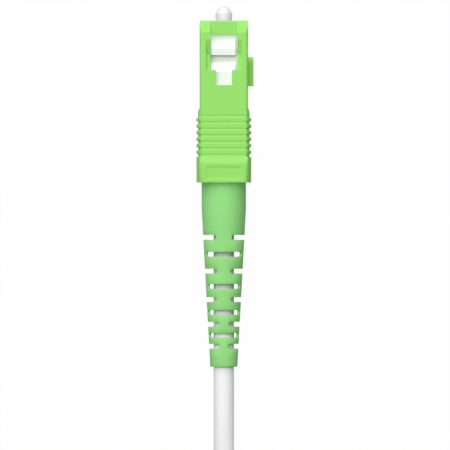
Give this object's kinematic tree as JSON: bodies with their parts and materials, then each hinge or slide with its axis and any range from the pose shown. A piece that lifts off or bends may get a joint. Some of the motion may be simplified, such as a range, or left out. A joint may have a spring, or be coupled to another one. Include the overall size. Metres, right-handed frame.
{
  "type": "sc fibre connector",
  "caption": "Push-pull fibre connector with a sliding coupling sleeve, spring-held angled ferrule and slotted boot, on a tied 3 mm lead with a second such connector at its end",
  "frame": {"origin": "on the near connector's ferrule axis, in the plane of the coupling sleeve's front face", "axes": "+Y out of the connector along the ferrule, +X towards the key, +Z out of the upper window face"},
  "size_m": [0.031, 0.1689, 0.0162],
  "materials": {
    "housing": "moulded green plastic, satin",
    "frame": "moulded white plastic, satin",
    "ferrule": "polished zirconia ceramic",
    "metal": "turned and plated",
    "fibre": "clear glass fibre",
    "spring": "drawn spring steel wire",
    "guide": "soft clear tube",
    "yarn": "aramid yarn",
    "buffer": "white tight buffer",
    "cable": "smooth white cable jacket",
    "boot": "moulded green elastomer, satin",
    "tie": "thin white strap"
  },
  "bodies": {
    "plug": {"plug_frame": "frame", "crimp_body": "metal", "guide_tube": "guide", "crimp_sleeve": "metal", "aramid_yarn": "yarn", "cable_jacket": "cable", "boot": "boot", "spring": "spring", "buffer": "buffer", "cable_lead": "cable", "cable_hank": "cable", "cable_tail": "cable", "hank_tie_left": "tie", "hank_tie_right": "tie", "far_plug_frame": "frame", "far_crimp_body": "metal", "far_guide_tube": "guide", "far_crimp_sleeve": "metal", "far_aramid_yarn": "yarn", "far_cable_jacket": "cable", "far_boot": "boot", "far_spring": "spring", "far_buffer": "buffer"},
    "sleeve": {"outer_housing": "housing"},
    "ferrule_unit": {"ferrule": "ferrule", "ferrule_flange": "metal", "fibre": "fibre"},
    "far_sleeve": {"far_outer_housing": "housing"},
    "far_ferrule_unit": {"far_ferrule": "ferrule", "far_ferrule_flange": "metal", "far_fibre": "fibre"}
  },
  "joints": [
    {"name": "sleeve_slide", "type": "slide", "parent": "plug", "child": "sleeve", "axis": [0, -1, 0], "range_m": [0, 0.0015]},
    {"name": "ferrule_float", "type": "slide", "parent": "plug", "child": "ferrule_unit", "axis": [0, -1, 0], "range_m": [0, 0.001], "stiffness_N_per_m": 1000, "deforming": ["spring", "buffer"]},
    {"name": "far_sleeve_slide", "type": "slide", "parent": "plug", "child": "far_sleeve", "axis": [0, 1, 0], "range_m": [0, 0.0015]},
    {"name": "far_ferrule_float", "type": "slide", "parent": "plug", "child": "far_ferrule_unit", "axis": [0, 1, 0], "range_m": [0, 0.001], "stiffness_N_per_m": 1000, "deforming": ["far_spring", "far_buffer"]}
  ]
}
